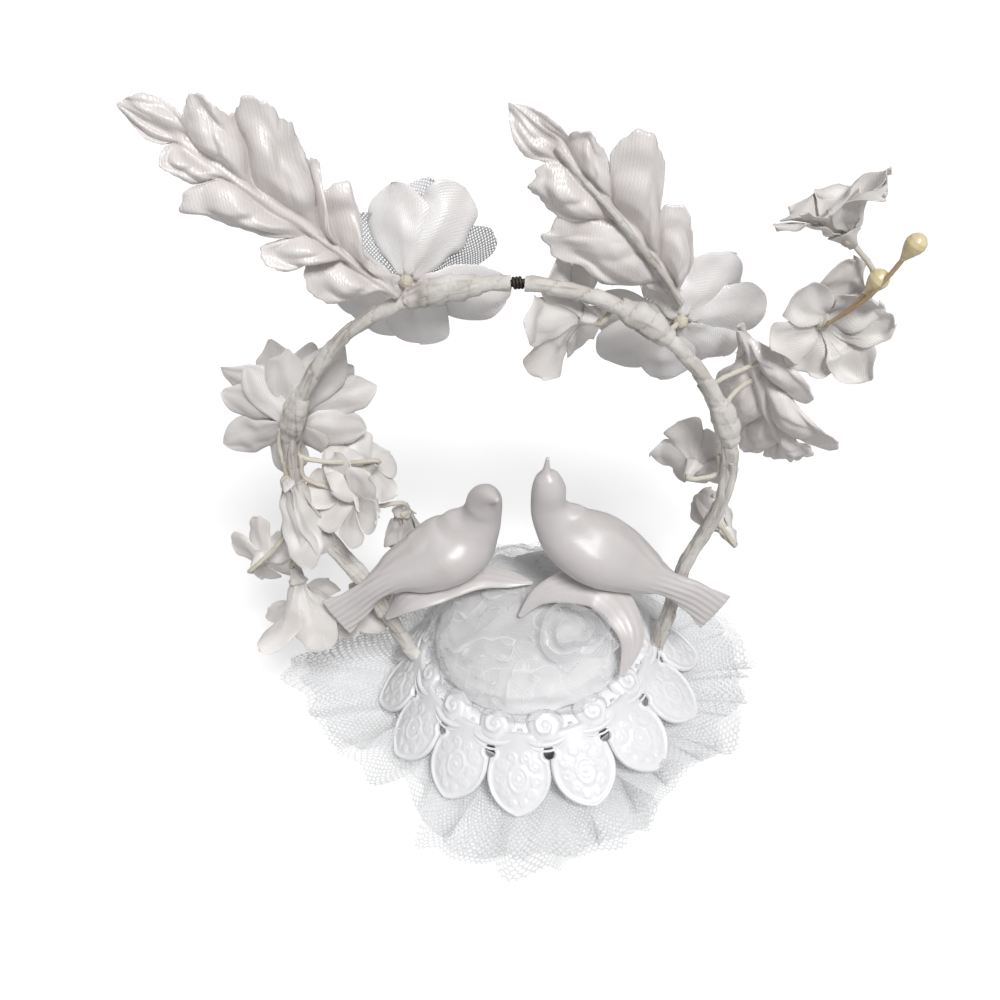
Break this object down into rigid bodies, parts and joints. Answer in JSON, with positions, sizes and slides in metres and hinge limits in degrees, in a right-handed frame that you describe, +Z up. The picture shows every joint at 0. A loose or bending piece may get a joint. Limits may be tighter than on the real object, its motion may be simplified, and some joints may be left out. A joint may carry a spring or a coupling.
{
  "type": "wedding cake topper",
  "caption": "Vintage wedding cake topper: moulded doves on a tulle puff in a petal-skirted plastic base, framed by a taped wire arch of satin leaves and flowers.",
  "frame": {"origin": "centre of the flat underside of the base's cup, on the axis of its ring of petals", "axes": "+Z up, -Y towards the viewer, +X to the viewer's right along the plane of the arch"},
  "size_m": [0.1541, 0.1072, 0.165],
  "materials": {
    "white_plastic": "white moulded styrene, high gloss, a little translucent at thin edges",
    "tulle": "white hexagonal net, stiff and see-through",
    "paper_tape": "off-white floral paper tape, matt, creased and grey with handling",
    "bare_wire": "bare dark wire end",
    "stem_wire": "paper-covered fine wire, cream to grey",
    "stamen_wax": "waxed cord with a pale yellow pearl end",
    "satin": "starched white satin, fine diagonal weave, soft sheen",
    "silver_mesh": "stiff silver-grey metallic mesh"
  },
  "bodies": {
    "root": {"arch_wire_left": "paper_tape", "arch_wire_right": "paper_tape", "arch_tie": "bare_wire", "flower_left_stem": "stem_wire", "flower_side_stem": "stem_wire", "flower_right_stem": "stem_wire", "blossom_crown_stem": "stem_wire", "blossom_far_stem": "stem_wire", "blossom_right_stem": "stem_wire", "bell_upper_stem": "stem_wire", "blossom_inner_a_stem": "stem_wire", "blossom_inner_b_stem": "stem_wire", "blossom_inner_c_stem": "stem_wire", "blossom_low_a_stem": "stem_wire", "blossom_low_b_stem": "stem_wire", "blossom_low_c_stem": "stem_wire", "blossom_low_d_stem": "stem_wire", "blossom_right_a_stem": "stem_wire", "blossom_right_b_stem": "stem_wire", "leaf_left_rib": "paper_tape", "leaf_middle_rib": "paper_tape", "leaf_right_rib": "paper_tape", "wrap_crown_left": "paper_tape", "wrap_side_left": "paper_tape", "wrap_low_left": "paper_tape", "wrap_crown_right": "paper_tape", "wrap_side_right": "paper_tape", "stamen_upper": "stamen_wax", "stamen_lower": "stamen_wax", "dove_left": "white_plastic", "dove_left_wings": "white_plastic", "dove_right": "white_plastic", "dove_right_wings": "white_plastic", "petal_base": "white_plastic", "tulle_rosette": "tulle", "tulle_puff": "tulle", "tulle_flounce": "tulle", "leaf_left_blade": "satin", "leaf_middle_blade": "satin", "leaf_right_blade": "satin", "flower_left_satin": "satin", "flower_left_mesh": "silver_mesh", "flower_side_satin": "satin", "flower_side_inner": "satin", "flower_right_satin": "satin", "flower_right_mesh": "silver_mesh", "blossom_crown_petals": "satin", "blossom_far_petals": "satin", "blossom_right_petals": "satin", "bell_upper_petals": "satin", "blossom_inner_a_petals": "satin", "blossom_inner_b_petals": "satin", "blossom_inner_c_petals": "satin", "blossom_low_a_petals": "satin", "blossom_low_b_petals": "satin", "blossom_low_c_petals": "satin", "blossom_low_d_petals": "satin", "blossom_right_a_petals": "satin", "blossom_right_b_petals": "satin"}
  },
  "joints": []
}
